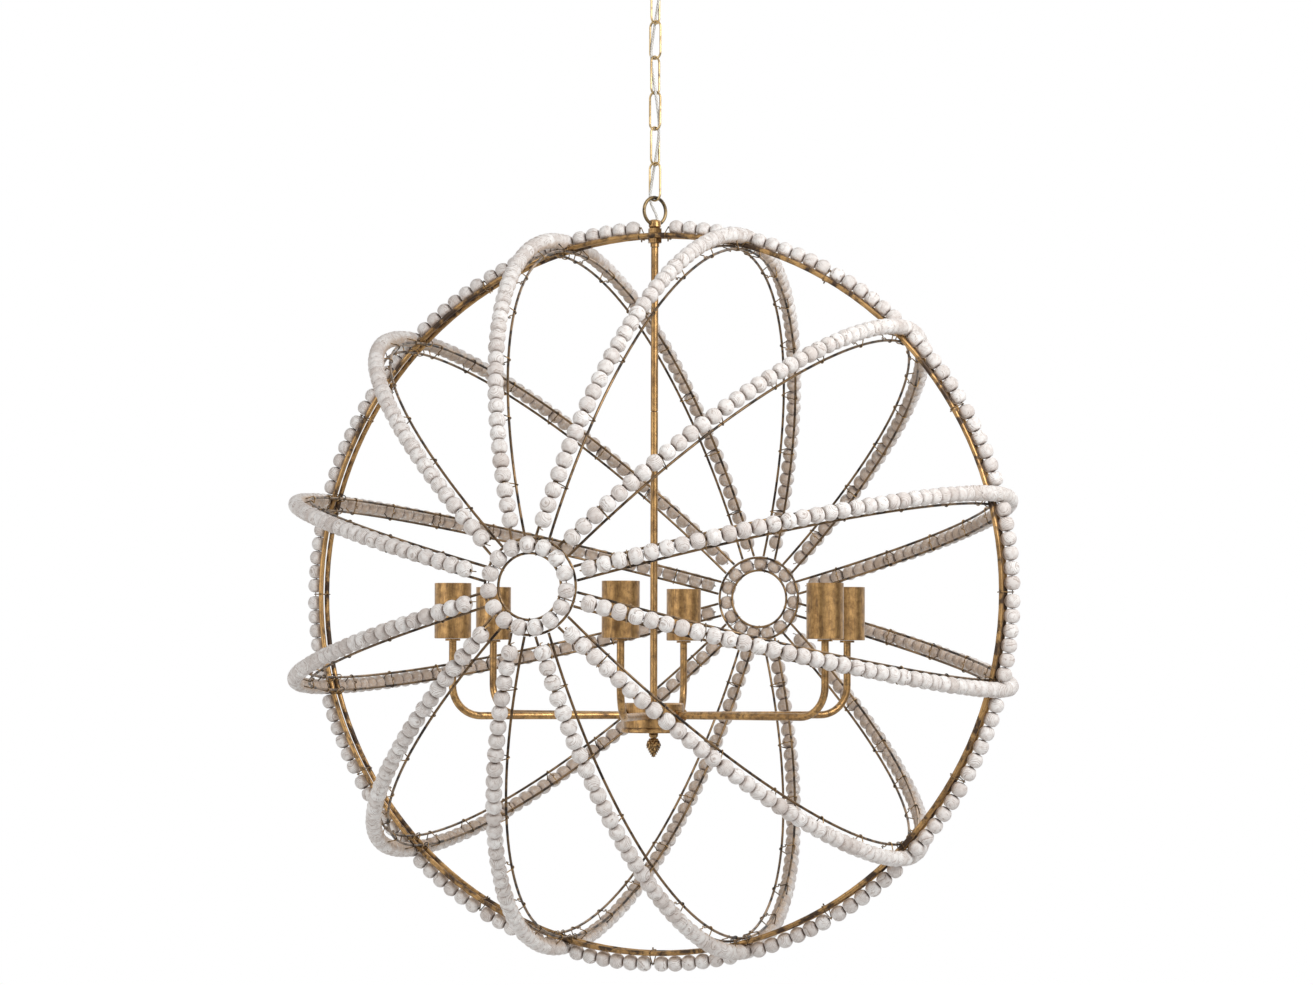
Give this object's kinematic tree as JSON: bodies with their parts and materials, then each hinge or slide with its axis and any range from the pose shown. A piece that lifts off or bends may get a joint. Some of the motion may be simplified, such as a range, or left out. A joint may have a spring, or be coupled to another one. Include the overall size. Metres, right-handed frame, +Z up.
{
  "type": "chandelier",
  "caption": "Globe chandelier: hoops of paired wires strung with whitewashed wooden beads around a stem with curved arms and candle cups, hung from a ceiling canopy on a chain",
  "frame": {"origin": "middle of the canopy's flat ceiling face, on the axis of the chain and stem", "axes": "+Z up towards the ceiling, +Y along the axis of the globe's two hubs, +X across it in the plane of the main ring; the picture looks along +Y from the -Y side, turned by about 19 degrees"},
  "size_m": [0.916, 0.9015, 1.2766],
  "materials": {
    "dark_wire": "dark bronze paint, rubbed",
    "ring_metal": "antique gold wash over dark bronze",
    "washed_wood": "whitewashed, matte, with fine cracks",
    "aged_gold": "antique gold with brown streaks",
    "chain_brass": "aged, satin",
    "plain_steel": "zinc coated",
    "holder_ceramic": "smooth off-white",
    "cord_plastic": "clear coated"
  },
  "bodies": {
    "ceiling": {"canopy": "aged_gold", "canopy_crossbar": "plain_steel", "canopy_nipple": "plain_steel", "canopy_nuts": "aged_gold", "canopy_loop": "aged_gold", "cord_stretch_0": "cord_plastic"},
    "link_1": {"chain_link_1": "chain_brass", "cord_stretch_1": "cord_plastic"},
    "link_2": {"chain_link_2": "chain_brass", "cord_stretch_2": "cord_plastic"},
    "link_3": {"chain_link_3": "chain_brass", "cord_stretch_3": "cord_plastic"},
    "link_4": {"chain_link_4": "chain_brass", "cord_stretch_4": "cord_plastic"},
    "link_5": {"chain_link_5": "chain_brass", "cord_stretch_5": "cord_plastic"},
    "link_6": {"chain_link_6": "chain_brass", "cord_stretch_6": "cord_plastic"},
    "loop": {"top_loop": "chain_brass", "cord_stretch_7": "cord_plastic"},
    "fixture": {"cord_stretch_8": "cord_plastic", "loop_knuckle": "aged_gold", "top_nuts": "aged_gold", "ring_saddle": "aged_gold", "stem_collar": "aged_gold", "stem_upper": "aged_gold", "stem_lower": "aged_gold", "stem_nipples": "plain_steel", "main_ring": "ring_metal", "rib_01": "dark_wire", "rib_02": "dark_wire", "rib_03": "dark_wire", "rib_04": "dark_wire", "rib_05": "dark_wire", "rib_06": "dark_wire", "rib_07": "dark_wire", "rib_08": "dark_wire", "rib_09": "dark_wire", "rib_10": "dark_wire", "rib_11": "dark_wire", "rib_12": "dark_wire", "hub_ring_front": "ring_metal", "hub_ring_rear": "ring_metal", "ring_beads": "washed_wood", "rib_beads_1": "washed_wood", "rib_beads_2": "washed_wood", "rib_beads_3": "washed_wood", "rib_beads_4": "washed_wood", "hub_beads": "washed_wood", "bead_strings": "dark_wire", "rib_ties": "dark_wire", "ring_ties": "dark_wire", "crossing_bindings": "dark_wire", "centre_body": "aged_gold", "bottom_plate": "aged_gold", "finial": "aged_gold", "arms": "aged_gold", "body_nuts": "aged_gold", "candle_cups": "aged_gold", "lamp_holders": "holder_ceramic"}
  },
  "joints": [
    {"name": "link_1_swing", "type": "hinge", "parent": "ceiling", "child": "link_1", "pos_m": [0, 0, -0.0758], "axis": [0.9455, -0.3256, 0], "range_deg": [-10, 10], "deforming": ["cord_stretch_1"]},
    {"name": "link_2_swing", "type": "hinge", "parent": "link_1", "child": "link_2", "pos_m": [0, 0, -0.11865], "axis": [0.3256, 0.9455, 0], "range_deg": [-10, 10], "deforming": ["cord_stretch_2"]},
    {"name": "link_3_swing", "type": "hinge", "parent": "link_2", "child": "link_3", "pos_m": [0, 0, -0.16225], "axis": [0.9455, -0.3256, 0], "range_deg": [-10, 10], "deforming": ["cord_stretch_3"]},
    {"name": "link_4_swing", "type": "hinge", "parent": "link_3", "child": "link_4", "pos_m": [0, 0, -0.20585], "axis": [0.3256, 0.9455, 0], "range_deg": [-10, 10], "deforming": ["cord_stretch_4"]},
    {"name": "link_5_swing", "type": "hinge", "parent": "link_4", "child": "link_5", "pos_m": [0, 0, -0.24945], "axis": [0.9455, -0.3256, 0], "range_deg": [-10, 10], "deforming": ["cord_stretch_5"]},
    {"name": "link_6_swing", "type": "hinge", "parent": "link_5", "child": "link_6", "pos_m": [0, 0, -0.29305], "axis": [0.3256, 0.9455, 0], "range_deg": [-10, 10], "deforming": ["cord_stretch_6"]},
    {"name": "loop_swing", "type": "hinge", "parent": "link_6", "child": "loop", "pos_m": [0, 0, -0.33665], "axis": [0.9455, -0.3256, 0], "range_deg": [-10, 10], "deforming": ["cord_stretch_7"]},
    {"name": "fixture_swing", "type": "hinge", "parent": "loop", "child": "fixture", "pos_m": [0, 0, -0.3663], "axis": [0.5446, 0.8387, 0], "range_deg": [-10, 10], "deforming": ["cord_stretch_8"]}
  ]
}
